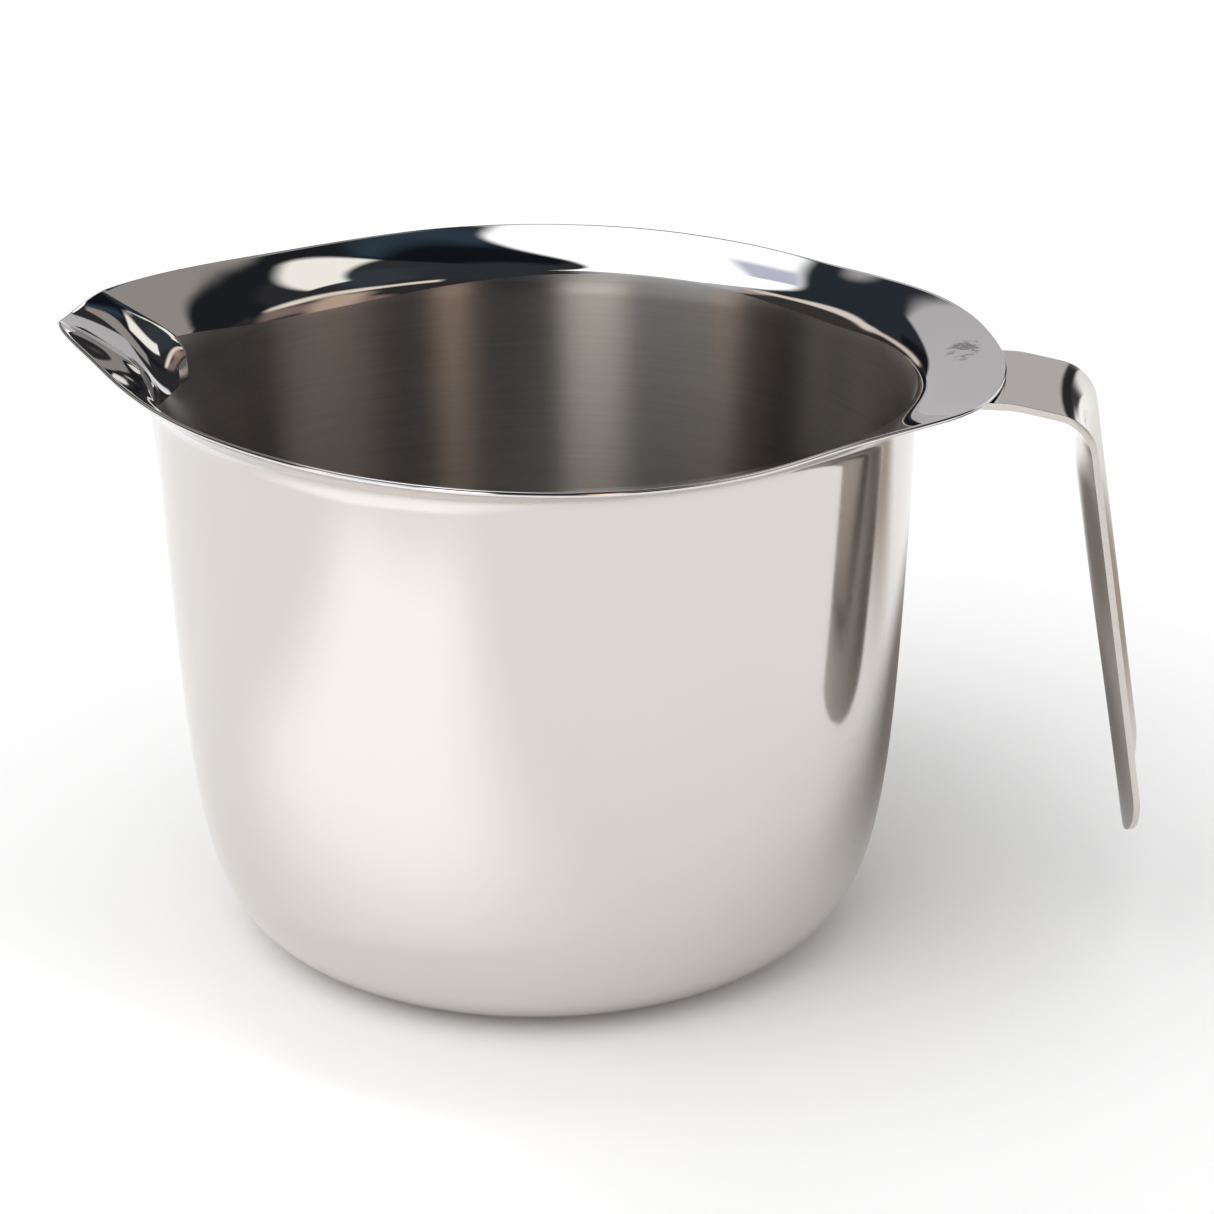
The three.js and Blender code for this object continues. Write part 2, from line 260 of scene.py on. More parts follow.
def buildBowl():
    spoutHalf = bowl["bulgeHalfAngle"] * 1.25
    bearings = np.concatenate(
        [
            np.linspace(spoutHalf - 180, 180 - spoutHalf, bowl["plainColumns"], endpoint=False),
            np.linspace(180 - spoutHalf, 180 + spoutHalf, bowl["spoutColumns"], endpoint=False),
        ]
    )
    foldFrom, foldTo = bowl["foldFrom"], bowl["foldTo"]
    foot = np.linspace(0, foldFrom, bowl["footRows"], endpoint=False)
    fold = np.linspace(foldFrom, foldTo, bowl["foldRows"], endpoint=False)
    shares = np.concatenate([foot, fold, np.linspace(foldTo, 1, bowl["lipRows"])])
    inside = bowlInside(bearings, shares)
    normals = ringNormals(inside)
    normals[: len(bowl["floorRings"])] = (0, 0, 1)
    half = bowl["sheet"] / 2
    middle = inside - normals * half
    along = np.roll(middle[-1], -1, axis=0) - np.roll(middle[-1], 1, axis=0)
    outward = np.cross(along, normals[-1])
    outward /= np.linalg.norm(outward, axis=1, keepdims=True)
    turns = np.radians(np.linspace(90, -90, bowl["edgeRows"]))[1:-1]
    roundness = bowl["cutEdge"]
    edge = [
        middle[-1] - outward * half + half * (np.sin(a) * normals[-1] + np.cos(a) * outward * roundness)
        for a in turns
    ]
    inside[-1] = middle[-1] - outward * half + half * normals[-1]
    outside = (middle - normals * half)[::-1]
    outside[0] = middle[-1] - outward * half - half * normals[-1]
    rings = np.concatenate([inside, np.array(edge), outside])
    rows, columns = rings.shape[:2]
    vertices = rings.reshape(-1, 3).tolist() + [[0, 0, bowl["sheet"]], [0, 0, 0]]
    faces, slots = [], []
    brushedRows = len(inside) - int(np.sum(shares > bowl["satinEnd"]))
    channelRows = len(inside) - int(np.sum(shares > bowl["channelSatinEnd"]))
    lipRows = len(inside) + len(edge) + int(np.sum(shares > bowl["mirrorStart"]))
    inChannel = bump(bearings + 0.5, bowl["channelMirror"], 1) > 0
    for r in range(rows - 1):
        for c in range(columns):
            n = (c + 1) % columns
            here, above = r * columns, (r + 1) * columns
            faces.append((here + c, above + c, above + n, here + n))
            satinRows = channelRows if inChannel[c] else brushedRows
            slots.append(0 if r < satinRows else 2 if r < lipRows else 1)
    last = (rows - 1) * columns
    for c in range(columns):
        n = (c + 1) % columns
        faces.append((len(vertices) - 2, c, n))
        faces.append((len(vertices) - 1, last + n, last + c))
        slots += [0, 1]
    mesh = bpy.data.meshes.new("bowl_shell")
    mesh.from_pydata(vertices, [], faces)
    mesh.polygons.foreach_set("material_index", slots)
    mesh.polygons.foreach_set("use_smooth", [True] * len(faces))
    piece = bpy.data.objects.new("bowl_shell", mesh)
    bpy.context.scene.collection.objects.link(piece)
    return piece


handle = {
    "sheet": 1.2 * mm,
    "edgeRound": 0.45 * mm,
    "seat": 0.1 * mm,  # raised over the frame's strap until its top just meets the tab
    "flat": 9.5 * mm,  # from the strap's start to where it slopes down
    "shoulder": 22.5 * mm,
    "shoulderDrop": 2.5 * mm,
    "flatRadius": 20 * mm,
    "shoulderRadius": 8 * mm,
    "lean": 9.9,
    "legLength": 81.5 * mm,
    "tipLength": 12 * mm,
    "startCorner": 4 * mm,
    "dish": 3.5 * mm,
    "tipDish": 3.0 * mm,
    "bendRun": 2.4,  # length of the bend, in shoulder radii
    "cornerSteps": 24,
    "rows": 120,
    "columns": 29,
    "edgeSteps": 4,
    "sharpest": 50,  # only corners over this many degrees are rounded
}


def strapTree():
    tree = bpy.data.node_groups.new("pressedStrap", "GeometryNodeTree")
    sizes = {
        "Width": 0.034,
        "Flat Radius": 0.02,
        "Shoulder Radius": 0.008,
        "Tip Length": 0.012,
        "Start Corner": 0.004,
        "Dish": 0.0035,
        "Tip Dish": 0.003,
        "Bend Start": 0.0145,
        "Bend End": 0.0337,
    }
    face = tree.interface
    face.new_socket("Geometry", in_out="INPUT", socket_type="NodeSocketGeometry")
    for name, value in sizes.items():
        socket = face.new_socket(name, in_out="INPUT", socket_type="NodeSocketFloat")
        socket.default_value = value
    for name in ("Rows", "Columns"):
        face.new_socket(name, in_out="INPUT", socket_type="NodeSocketInt")
    face.new_socket("Material", in_out="INPUT", socket_type="NodeSocketMaterial")
    face.new_socket("Geometry", in_out="OUTPUT", socket_type="NodeSocketGeometry")
    given = addNode(tree, "NodeGroupInput").outputs

    # The path: straight runs with each corner rounded to its own radius.
    line = addNode(tree, "GeometryNodeMeshToCurve", inputs={"Mesh": given["Geometry"]})
    index = addNode(tree, "GeometryNodeInputIndex").outputs[0]
    isFirst = addNode(
        tree, "FunctionNodeCompare", {"data_type": "INT", "operation": "EQUAL"}, {"A": index, "B": 1}
    )
    radius = addNode(
        tree,
        "GeometryNodeSwitch",
        {"input_type": "FLOAT"},
        {"Switch": isFirst.outputs[0], "False": given["Shoulder Radius"], "True": given["Flat Radius"]},
    )
    path = addNode(
        tree,
        "GeometryNodeFilletCurve",
        {"mode": "POLY"},
        {"Curve": line.outputs[0], "Count": handle["cornerSteps"], "Radius": radius.outputs[0]},
    )
    length = addNode(tree, "GeometryNodeCurveLength", inputs={0: path.outputs[0]}).outputs[0]

    # A flat grid one unit long and wide: its X says how far along, its Y how far across.
    grid = addNode(
        tree,
        "GeometryNodeMeshGrid",
        inputs={
            "Size X": 1.0,
            "Size Y": 1.0,
            "Vertices X": given["Rows"],
            "Vertices Y": given["Columns"],
        },
    )
    place = addNode(tree, "GeometryNodeInputPosition").outputs[0]
    part = addNode(tree, "ShaderNodeSeparateXYZ", inputs={0: place}).outputs

    # The sums behind each point, in order: a word stands for an earlier result.
    sums = {
        "share": ("ADD", part["X"], 0.5),
        "turn": ("MULTIPLY", part["Y"], math.pi),
        "across": ("SINE", "turn", 0.0),  # closer columns at the edges
        "halfWidth": ("MULTIPLY", given["Width"], 0.5),
        "sideways": ("MULTIPLY", "across", "halfWidth"),
        "acrossSquared": ("MULTIPLY", "across", "across"),
        "crown": ("SUBTRACT", 1.0, "acrossSquared"),
        "crownKept": ("MAXIMUM", "crown", 0.0),
        "tipArc": ("SQRT", "crownKept", 0.0),
        "tipShort": ("SUBTRACT", 1.0, "tipArc"),
        "tipCut": ("MULTIPLY", given["Tip Length"], "tipShort"),
        "end": ("SUBTRACT", length, "tipCut"),
        "fromMiddle": ("ABSOLUTE", "sideways", 0.0),
        "cornerFrom": ("SUBTRACT", "halfWidth", given["Start Corner"]),
        "pastCorner": ("SUBTRACT", "fromMiddle", "cornerFrom"),
        "intoCorner": ("DIVIDE", "pastCorner", given["Start Corner"]),
        "clipped": ("MAXIMUM", "intoCorner", 0.0),
        "clippedSquared": ("MULTIPLY", "clipped", "clipped"),
        "cornerRest": ("SUBTRACT", 1.0, "clippedSquared"),
        "cornerKept": ("MAXIMUM", "cornerRest", 0.0),
        "cornerArc": ("SQRT", "cornerKept", 0.0),
        "cornerShort": ("SUBTRACT", 1.0, "cornerArc"),
        "start": ("MULTIPLY", given["Start Corner"], "cornerShort"),
        "run": ("SUBTRACT", "end", "start"),
        "runShare": ("MULTIPLY", "share", "run"),
        "along": ("ADD", "start", "runShare"),
    }
    made = {}
    for name, (operation, *pair) in sums.items():
        values = {i: made[v] if isinstance(v, str) else v for i, v in enumerate(pair)}
        made[name] = addNode(tree, "ShaderNodeMath", {"operation": operation}, values)
    along = made["along"].outputs[0]

    on = addNode(
        tree,
        "GeometryNodeSampleCurve",
        {"mode": "LENGTH"},
        {"Curves": path.outputs[0], "Length": along},
    )
    heading = addNode(tree, "ShaderNodeSeparateXYZ", inputs={0: on.outputs["Tangent"]}).outputs
    bent = addNode(
        tree,
        "ShaderNodeMapRange",
        {"interpolation_type": "SMOOTHSTEP"},
        {0: along, 1: given["Bend Start"], 2: given["Bend End"], 3: 0.0, 4: 1.0},
    )
    depth = addNode(
        tree,
        "ShaderNodeMapRange",
        {"interpolation_type": "SMOOTHSTEP"},
        {0: along, 1: given["Bend End"], 2: length, 3: given["Dish"], 4: given["Tip Dish"]},
    )
    times = {"operation": "MULTIPLY"}
    deepest = addNode(tree, "ShaderNodeMath", times, {0: bent, 1: depth})
    dish = addNode(tree, "ShaderNodeMath", times, {0: deepest, 1: made["crown"]})
    towardsBowl = addNode(tree, "ShaderNodeMath", times, {0: heading["Z"], 1: dish})
    rise = addNode(tree, "ShaderNodeMath", times, {0: heading["X"], 1: dish})
    drop = addNode(tree, "ShaderNodeMath", times, {0: rise, 1: -1.0})
    inward = addNode(
        tree, "ShaderNodeCombineXYZ", inputs={"X": towardsBowl, "Y": made["sideways"], "Z": drop}
    )
    spot = addNode(
        tree,
        "ShaderNodeVectorMath",
        {"operation": "ADD"},
        {0: on.outputs["Position"], 1: inward.outputs[0]},
    )
    shaped = addNode(
        tree,
        "GeometryNodeSetPosition",
        inputs={"Geometry": grid.outputs[0], "Position": spot.outputs[0]},
    )
    solid = addNode(tree, "GeometryNodeRealizeInstances", inputs={0: shaped.outputs[0]})
    finished = addNode(
        tree,
        "GeometryNodeSetMaterial",
        inputs={"Geometry": solid.outputs[0], "Material": given["Material"]},
    )
    addNode(tree, "NodeGroupOutput", inputs={"Geometry": finished.outputs[0]})
    return tree


def runTree(piece, tree, values):
    # Runs a node tree on a piece and keeps its result as a plain mesh.
    step = piece.modifiers.new("shape", "NODES")
    step.node_group = tree
    for socket in tree.interface.items_tree:
        if socket.in_out == "INPUT" and socket.name in values:
            step[socket.identifier] = values[socket.name]
    bpy.context.view_layer.update()
    seen = piece.evaluated_get(bpy.context.evaluated_depsgraph_get())
    made = bpy.data.meshes.new_from_object(seen)
    piece.modifiers.remove(step)
    piece.data = made
    made.name = piece.name


def buildHandle(material):
    top = handleHigh.z + handle["seat"] - handle["sheet"] / 2
    start = Vector((handleLow.x, 0, top))
    flatEnd = start + Vector((handle["flat"], 0, 0))
    shoulder = start + Vector((handle["shoulder"], 0, -handle["shoulderDrop"]))
    lean = math.radians(handle["lean"])
    tip = shoulder + handle["legLength"] * Vector((math.sin(lean), 0, -math.cos(lean)))
    mesh = bpy.data.meshes.new("handle_strap")
    mesh.from_pydata([start, flatEnd, shoulder, tip], [(0, 1), (1, 2), (2, 3)], [])
    piece = bpy.data.objects.new("handle_strap", mesh)
    bpy.context.scene.collection.objects.link(piece)
    bendStart = handle["shoulder"] - handle["shoulderRadius"]
    values = {
        "Width": handleHigh.y - handleLow.y - handle["sheet"] / 2,
        "Flat Radius": handle["flatRadius"],
        "Shoulder Radius": handle["shoulderRadius"],
        "Tip Length": handle["tipLength"],
        "Start Corner": handle["startCorner"],
        "Dish": handle["dish"],
        "Tip Dish": handle["tipDish"],
        "Bend Start": bendStart,
        "Bend End": bendStart + handle["bendRun"] * handle["shoulderRadius"],
        "Rows": handle["rows"],
        "Columns": handle["columns"],
        "Material": material,
    }
    runTree(piece, strapTree(), values)
    piece.data.polygons.foreach_set("use_smooth", [True] * len(piece.data.polygons))
    wall = piece.modifiers.new("thickness", "SOLIDIFY")
    wall.thickness = handle["sheet"]
    wall.offset = 0
    wall.use_even_offset = True
    wall.material_offset_rim = 1  # the cut edge has its own finish
    edges = piece.modifiers.new("edges", "BEVEL")
    edges.width = handle["edgeRound"]
    edges.segments = handle["edgeSteps"]
    edges.limit_method = "ANGLE"
    edges.angle_limit = math.radians(handle["sharpest"])
    edges.material = 1
    return piece


welds = {
    "count": 2,
    "radius": 2.2 * mm,
    "height": 1.5 * mm,  # stands a little out of the strap's underside
    "sides": 48,
    "edgeRound": 0.3 * mm,
    "edgeSteps": 3,
}


def weldTree():
    tree = bpy.data.node_groups.new("spotWelds", "GeometryNodeTree")
    face = tree.interface
    face.new_socket("Geometry", in_out="INPUT", socket_type="NodeSocketGeometry")
    for name in ("First", "Step"):
        face.new_socket(name, in_out="INPUT", socket_type="NodeSocketVector")
    for name in ("Radius", "Height"):
        face.new_socket(name, in_out="INPUT", socket_type="NodeSocketFloat")
    face.new_socket("Count", in_out="INPUT", socket_type="NodeSocketInt")
    face.new_socket("Material", in_out="INPUT", socket_type="NodeSocketMaterial")
    face.new_socket("Geometry", in_out="OUTPUT", socket_type="NodeSocketGeometry")
    given = addNode(tree, "NodeGroupInput").outputs
    row = addNode(
        tree,
        "GeometryNodeMeshLine",
        inputs={"Count": given["Count"], "Start Location": given["First"], "Offset": given["Step"]},
    )
    mark = addNode(
        tree,
        "GeometryNodeMeshCylinder",
        inputs={"Vertices": welds["sides"], "Radius": given["Radius"], "Depth": given["Height"]},
    )
    marks = addNode(
        tree,
        "GeometryNodeInstanceOnPoints",
        inputs={"Points": row.outputs[0], "Instance": mark.outputs["Mesh"]},
    )
    solid = addNode(tree, "GeometryNodeRealizeInstances", inputs={0: marks.outputs[0]})
    finished = addNode(
        tree,
        "GeometryNodeSetMaterial",
        inputs={"Geometry": solid.outputs[0], "Material": given["Material"]},
    )
    addNode(tree, "NodeGroupOutput", inputs={"Geometry": finished.outputs[0]})
    return tree


def buildWelds(material):
    low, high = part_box("handle_weld_1")
    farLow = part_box("handle_weld_2")[0]
    first = (low + high) / 2
    first.z = handleHigh.z + handle["seat"] - welds["height"] / 2
    piece = bpy.data.objects.new("weld_marks", bpy.data.meshes.new("weld_marks"))
    bpy.context.scene.collection.objects.link(piece)
    values = {
        "First": first,
        "Step": Vector((0, farLow.y - low.y, 0)),
        "Radius": welds["radius"],
        "Height": welds["height"],
        "Count": welds["count"],
        "Material": material,
    }
    runTree(piece, weldTree(), values)
    soften = piece.modifiers.new("edges", "BEVEL")
    soften.width = welds["edgeRound"]
    soften.segments = welds["edgeSteps"]
    soften.limit_method = "ANGLE"
    return piece


steel = {
    "wallColour": "#d8d3cf",
    "lipColour": "#dddddd",
    "insideColour": "#bcbab8",
    "insideRidge": "#cac8c6",  # tops of the turned rings
    "handleColour": "#d6d2cd",
    "edgeColour": "#cfcac4",
    "weldColour": "#a8a29a",
    "wallRoughness": 0.085,
    "lipRoughness": 0.022,
    "insideRoughness": 0.39,
    "handleRoughness": 0.08,
    "edgeRoughness": 0.25,
    "rubPlace": (76 * mm, 13 * mm, 108.5 * mm),  # rubbed mark on the tab
    "rubSize": (7 * mm, 13 * mm, 6 * mm),  # half sizes
    "rubColour": "#8f8c8d",
    "streakPitch": 0.5 * mm,  # coarser than real turning lines, so that they show
    "streakLength": 25 * mm,
}


def newSteel(name, colour):
    material = bpy.data.materials.new(name)
    material.use_nodes = True
    tree = material.node_tree
    shader = tree.nodes["Principled BSDF"]
    shader.inputs["Metallic"].default_value = 1
    shader.inputs["Base Color"].default_value = linear(colour)
    spot = addNode(tree, "ShaderNodeTexCoord").outputs["Object"]
    return tree, shader, spot


def aroundAxis(tree, spot):
    # Direction round the bowl's axis, and the length along its section from the centre.
    part = addNode(tree, "ShaderNodeSeparateXYZ", inputs={0: spot}).outputs
    flat = addNode(tree, "ShaderNodeCombineXYZ", inputs={"X": part["X"], "Y": part["Y"]}).outputs[0]
    radius = addNode(tree, "ShaderNodeVectorMath", {"operation": "LENGTH"}, {0: flat})
    out = addNode(tree, "ShaderNodeVectorMath", {"operation": "NORMALIZE"}, {0: flat}).outputs[0]
    length = addNode(
        tree, "ShaderNodeMath", {"operation": "ADD"}, {0: part["Z"], 1: radius.outputs["Value"]}
    )
    return out, length


def turnedStreaks(tree, out, length, pitch, reach):
    # Fine lines that run round the axis, a pitch apart and about a reach long.
    turns = {0: out, "Scale": bowlRadius / reach}
    ring = addNode(tree, "ShaderNodeVectorMath", {"operation": "SCALE"}, turns)
    row = addNode(tree, "ShaderNodeMath", {"operation": "DIVIDE"}, {0: length, 1: pitch})
    up = addNode(tree, "ShaderNodeCombineXYZ", inputs={"Z": row})
    spot = addNode(tree, "ShaderNodeVectorMath", {"operation": "ADD"}, {0: ring, 1: up})
    noise = addNode(
        tree,
        "ShaderNodeTexNoise",
        inputs={"Vector": spot.outputs[0], "Scale": 1.0, "Detail": 3.0, "Roughness": 0.65},
    )
    return noise.outputs[0]


def insideSteel():
    # Turned satin finish: fine rings that smear each reflection into an upright band.
    tree, shader, spot = newSteel("brushedStainlessInside", steel["insideColour"])
    out, length = aroundAxis(tree, spot)
    fine = turnedStreaks(tree, out, length, steel["streakPitch"], steel["streakLength"])
    broad = turnedStreaks(tree, out, length, 6 * steel["streakPitch"], 3 * steel["streakLength"])
    fineShare = addNode(tree, "ShaderNodeMath", {"operation": "MULTIPLY"}, {0: fine, 1: 0.7})
    broadShare = addNode(tree, "ShaderNodeMath", {"operation": "MULTIPLY"}, {0: broad, 1: 0.3})
    both = addNode(tree, "ShaderNodeMath", {"operation": "ADD"}, {0: fineShare, 1: broadShare})
    low, high = 0.9 * steel["insideRoughness"], 1.1 * steel["insideRoughness"]
    # sockets of a map range: value, from low, from high, to low, to high
    rough = addNode(tree, "ShaderNodeMapRange", inputs={0: both, 1: 0.35, 2: 0.65, 3: low, 4: high})
    tree.links.new(rough.outputs[0], shader.inputs["Roughness"])
    relief = {"Strength": 0.1, "Distance": 0.02 * mm, "Height": both}
    bumped = addNode(tree, "ShaderNodeBump", inputs=relief)
    tree.links.new(bumped.outputs[0], shader.inputs["Normal"])
    axes = {0: (0, 0, 1), 1: out}
    around = addNode(tree, "ShaderNodeVectorMath", {"operation": "CROSS_PRODUCT"}, axes)
    tree.links.new(around.outputs[0], shader.inputs["Tangent"])
    shader.inputs["Anisotropic"].default_value = 1.0
    shader.inputs["Anisotropic Rotation"].default_value = 0.25
    tone = addNode(tree, "ShaderNodeMapRange", inputs={0: both, 1: 0.3, 2: 0.7, 3: 0.0, 4: 1.0})
    mixed = addNode(
        tree,
        "ShaderNodeMix",
        {"data_type": "RGBA"},
        {"Factor": tone, "A": linear(steel["insideColour"]), "B": linear(steel["insideRidge"])},
    )
    tree.links.new(mixed.outputs["Result"], shader.inputs["Base Color"])


def wallSteel():
    # Buffed outer wall: near mirror, with a trace of the level buffing lines.
    tree, shader, spot = newSteel("buffedStainlessWall", steel["wallColour"])
    out, length = aroundAxis(tree, spot)
    fine = turnedStreaks(tree, out, length, steel["streakPitch"], 2 * steel["streakLength"])
    low, high = 0.8 * steel["wallRoughness"], 1.3 * steel["wallRoughness"]
    rough = addNode(tree, "ShaderNodeMapRange", inputs={0: fine, 1: 0.3, 2: 0.7, 3: low, 4: high})
    tree.links.new(rough.outputs[0], shader.inputs["Roughness"])
    relief = {"Strength": 0.15, "Distance": 0.01 * mm, "Height": fine}
    bumped = addNode(tree, "ShaderNodeBump", inputs=relief)
    tree.links.new(bumped.outputs[0], shader.inputs["Normal"])


def lipSteel():
    # Mirror-polished lip: sharp reflections, faint cloudy wiping, and a rubbed mark on the tab.
    tree, shader, spot = newSteel("mirrorPolishedStainlessLip", steel["lipColour"])
    # clouds about 11 mm across, specks about 2 mm
    haze = addNode(tree, "ShaderNodeTexNoise", inputs={"Vector": spot, "Scale": 90.0, "Detail": 4.0})
    cloudy = addNode(tree, "ShaderNodeMapRange", inputs={0: haze, 1: 0.4, 2: 0.7, 3: 0.7, 4: 1.8})
    polish = addNode(
        tree, "ShaderNodeMath", {"operation": "MULTIPLY"}, {0: cloudy, 1: steel["lipRoughness"]}
    )
    fromMark = {0: spot, 1: steel["rubPlace"]}
    off = addNode(tree, "ShaderNodeVectorMath", {"operation": "SUBTRACT"}, fromMark)
    size = [1 / r for r in steel["rubSize"]]
    off = addNode(tree, "ShaderNodeVectorMath", {"operation": "MULTIPLY"}, {0: off.outputs[0], 1: size})
    away = addNode(tree, "ShaderNodeVectorMath", {"operation": "LENGTH"}, {0: off.outputs[0]})
    near = addNode(
        tree,
        "ShaderNodeMapRange",
        {"interpolation_type": "SMOOTHSTEP"},
        {0: away.outputs["Value"], 1: 0.3, 2: 1.0, 3: 1.0, 4: 0.0},
    )
    speckle = addNode(
        tree,
        "ShaderNodeTexNoise",
        inputs={"Vector": spot, "Scale": 420.0, "Detail": 6.0, "Roughness": 0.7, "Distortion": 0.6},
    )
    marks = addNode(tree, "ShaderNodeMath", {"operation": "MULTIPLY"}, {0: speckle, 1: near})
    worn = addNode(tree, "ShaderNodeMapRange", inputs={0: marks, 1: 0.44, 2: 0.56, 3: 0.0, 4: 1.0})
    rough = addNode(
        tree, "ShaderNodeMath", {"operation": "MULTIPLY_ADD"}, {0: worn, 1: 0.25, 2: polish}
    )
    tree.links.new(rough.outputs[0], shader.inputs["Roughness"])
    tone = addNode(
        tree,
        "ShaderNodeMix",
        {"data_type": "RGBA"},
        {"Factor": worn, "A": linear(steel["lipColour"]), "B": linear(steel["rubColour"])},
    )
    tree.links.new(tone.outputs["Result"], shader.inputs["Base Color"])


def handleSteel():
    # Buffed strap: near mirror, fine lines along its length.
    tree, shader, spot = newSteel("buffedStainlessHandle", steel["handleColour"])
    part = addNode(tree, "ShaderNodeSeparateXYZ", inputs={0: spot}).outputs
    pitches = {"X": 30 * mm, "Y": 0.4 * mm, "Z": 30 * mm}
    places = {
        axis: addNode(tree, "ShaderNodeMath", {"operation": "DIVIDE"}, {0: part[axis], 1: pitch})
        for axis, pitch in pitches.items()
    }
    across = addNode(tree, "ShaderNodeCombineXYZ", inputs=places)
    fine = addNode(
        tree,
        "ShaderNodeTexNoise",
        inputs={"Vector": across.outputs[0], "Scale": 1.0, "Detail": 3.0, "Roughness": 0.6},
    ).outputs[0]
    low, high = 0.8 * steel["handleRoughness"], 1.4 * steel["handleRoughness"]
    rough = addNode(tree, "ShaderNodeMapRange", inputs={0: fine, 1: 0.3, 2: 0.7, 3: low, 4: high})
    tree.links.new(rough.outputs[0], shader.inputs["Roughness"])
    relief = {"Strength": 0.2, "Distance": 0.01 * mm, "Height": fine}
    bumped = addNode(tree, "ShaderNodeBump", inputs=relief)
    tree.links.new(bumped.outputs[0], shader.inputs["Normal"])


def edgeSteel():
    # Cut edge of the strap: tumbled smooth but not buffed, so greyer than its faces.
    tree, shader, spot = newSteel("tumbledStainlessEdge", steel["edgeColour"])
    # grains about 1 mm across, coarser than the real ones, so that they show
    grain = addNode(tree, "ShaderNodeTexNoise", inputs={"Vector": spot, "Scale": 900.0, "Detail": 4.0})
    low, high = 0.8 * steel["edgeRoughness"], 1.2 * steel["edgeRoughness"]
    rough = addNode(tree, "ShaderNodeMapRange", inputs={0: grain, 1: 0.3, 2: 0.7, 3: low, 4: high})
    tree.links.new(rough.outputs[0], shader.inputs["Roughness"])


def weldSteel():
    # Dull grey spot welds, left as they were made.
    tree, shader, spot = newSteel("dullWeldSteel", steel["weldColour"])
    # grains about 0.7 mm across
    grain = addNode(tree, "ShaderNodeTexNoise", inputs={"Vector": spot, "Scale": 1500.0, "Detail": 4.0})
    rough = addNode(tree, "ShaderNodeMapRange", inputs={0: grain, 1: 0.3, 2: 0.7, 3: 0.35, 4: 0.6})
    tree.links.new(rough.outputs[0], shader.inputs["Roughness"])
    relief = {"Strength": 0.5, "Distance": 0.05 * mm, "Height": grain}
    bumped = addNode(tree, "ShaderNodeBump", inputs=relief)
    tree.links.new(bumped.outputs[0], shader.inputs["Normal"])


# What the steel mirrors. For each: bearing (0 is straight behind the pot, + to the right) and
# elevation, half width and half height, tilt, soft edge, all in degrees; colour; brightness.
studio = {
    "base": "#313133",
    "floorColour": "#f4f4f4",
    "ambient": 0.83,
    "sun": 1.25,
    "pool": 0.04,
    "sunBearing": -142,
    "sunElevation": 56,
    "sunSpread": 55,
    "floorReach": 15.0,
    "poolSize": (0.17, 0.2),
    "poolPlace": (-0.095, -0.17, 0.5),
    "poolTurn": -18,
    "poolSpread": 12,
    # soft cards that only the steel sees, flag cards and painted shadow on the floor: place, turn about
    # X and Z, half size, colour
    "flagsAndPaintedShadows": {
        # the next two cards are painted shadow: dark sheets flat on the floor where the pot's shadow
        # lies behind it and to its right, seen only in the steel
        "flagOnFloor": ((0.088, 0.1, 0.001), 0, 0, (0.06, 0.13), "#7a7673"),
        "flagHidden": ((0.02, 0.15, 0.0015), 0, 0, (0.1, 0.14), "#827b76"),
        "flagBeside": ((0.275, 0.203, 0.0005), 0, 43, (0.22, 0.055), "#b3a89d"),
        "flagBehind": ((0.345, 0.86, 0.1), 90, 0, (0.09, 0.3), "#252427"),
    },
    "patches": {
        "leftCeiling": (-84, 70, 42, 14, 0, 5, "#c2c3c6", 1.0),
        "darkCeiling": (70, 76, 92, 16, 0, 4, "#34353a", 1.0),
        "brownWall": (-92, 30, 30, 24, 0, 6, "#3f3a38", 1.0),
        "pinkLine": (-78, 56, 24, 2.5, -6, 2.5, "#b9a8a0", 1.0),
        "creamStrip": (-60, 38, 6, 19, 4, 3.5, "#f2e6da", 1.0),
        "creamFoot": (-42, 14, 18, 2.5, -30, 2.5, "#e6d8cc", 1.0),
        "blueWindow": (-34, 36, 17, 15, -20, 2.5, "#2b3139", 1.0),
        "blackFoot": (-25, 14, 13, 4, -34, 2, "#1b1a1d", 1.0),
        "backWall": (6, 14, 25, 21, 10, 1.2, "#c4c1c2", 1.0),
        "leftWall": (27, 46, 22, 8, -30, 1.5, "#a19b97", 1.0),
        "blackFlag": (14, 67, 27, 9, 0, 3.0, "#14171d", 1.0),
        "blueSheen": (20, 60, 18, 2.5, 4, 2.5, "#32414d", 1.0),
        "darkRight": (53, 40, 26, 4.5, -40, 2, "#202226", 1.0),
        "blueRight": (82, 58, 22, 10, -10, 5, "#3a4046", 1.0),
        "bigSoftbox": (-31, 62, 31, 14.5, -32, 1.5, "#ffffff", 1.6),
        "lilacCard": (-20, 41.5, 4.5, 3, -32, 1.0, "#cfd0e2", 1.0),
        "softboxRight": (59, 53.5, 20, 5.5, -14, 1.4, "#f6f2ea", 1.25),
        "stripRight": (99, 40, 31, 3.2, 31, 2.5, "#f6e8da", 1.1),
        "warmLow": (96, 16, 24, 8, 0, 4, "#8b7670", 1.0),
        "cardFar": (101, 18, 9, 17, 0, 5, "#b79f8e", 1.2),
        "cardBrown": (141, 18, 5, 17, 0, 3.5, "#c5ab97", 3.0),
        "cardCentre": (189, 18, 11, 17, 0, 4, "#d6cec6", 4.6),
        "cardGrey": (216, 18, 14, 17, 0, 6, "#b4b4b5", 2.2),
        "cardWarm": (234, 18, 5, 17, 0, 4, "#c9b9aa", 3.0),
        "lowFlag": (14, 8, 4.5, 8, -30, 1.5, "#2a282b", 1.0),
        "lowWhite": (28, 5, 9, 12, -30, 2, "#f4f4f6", 1.1),
    },
}


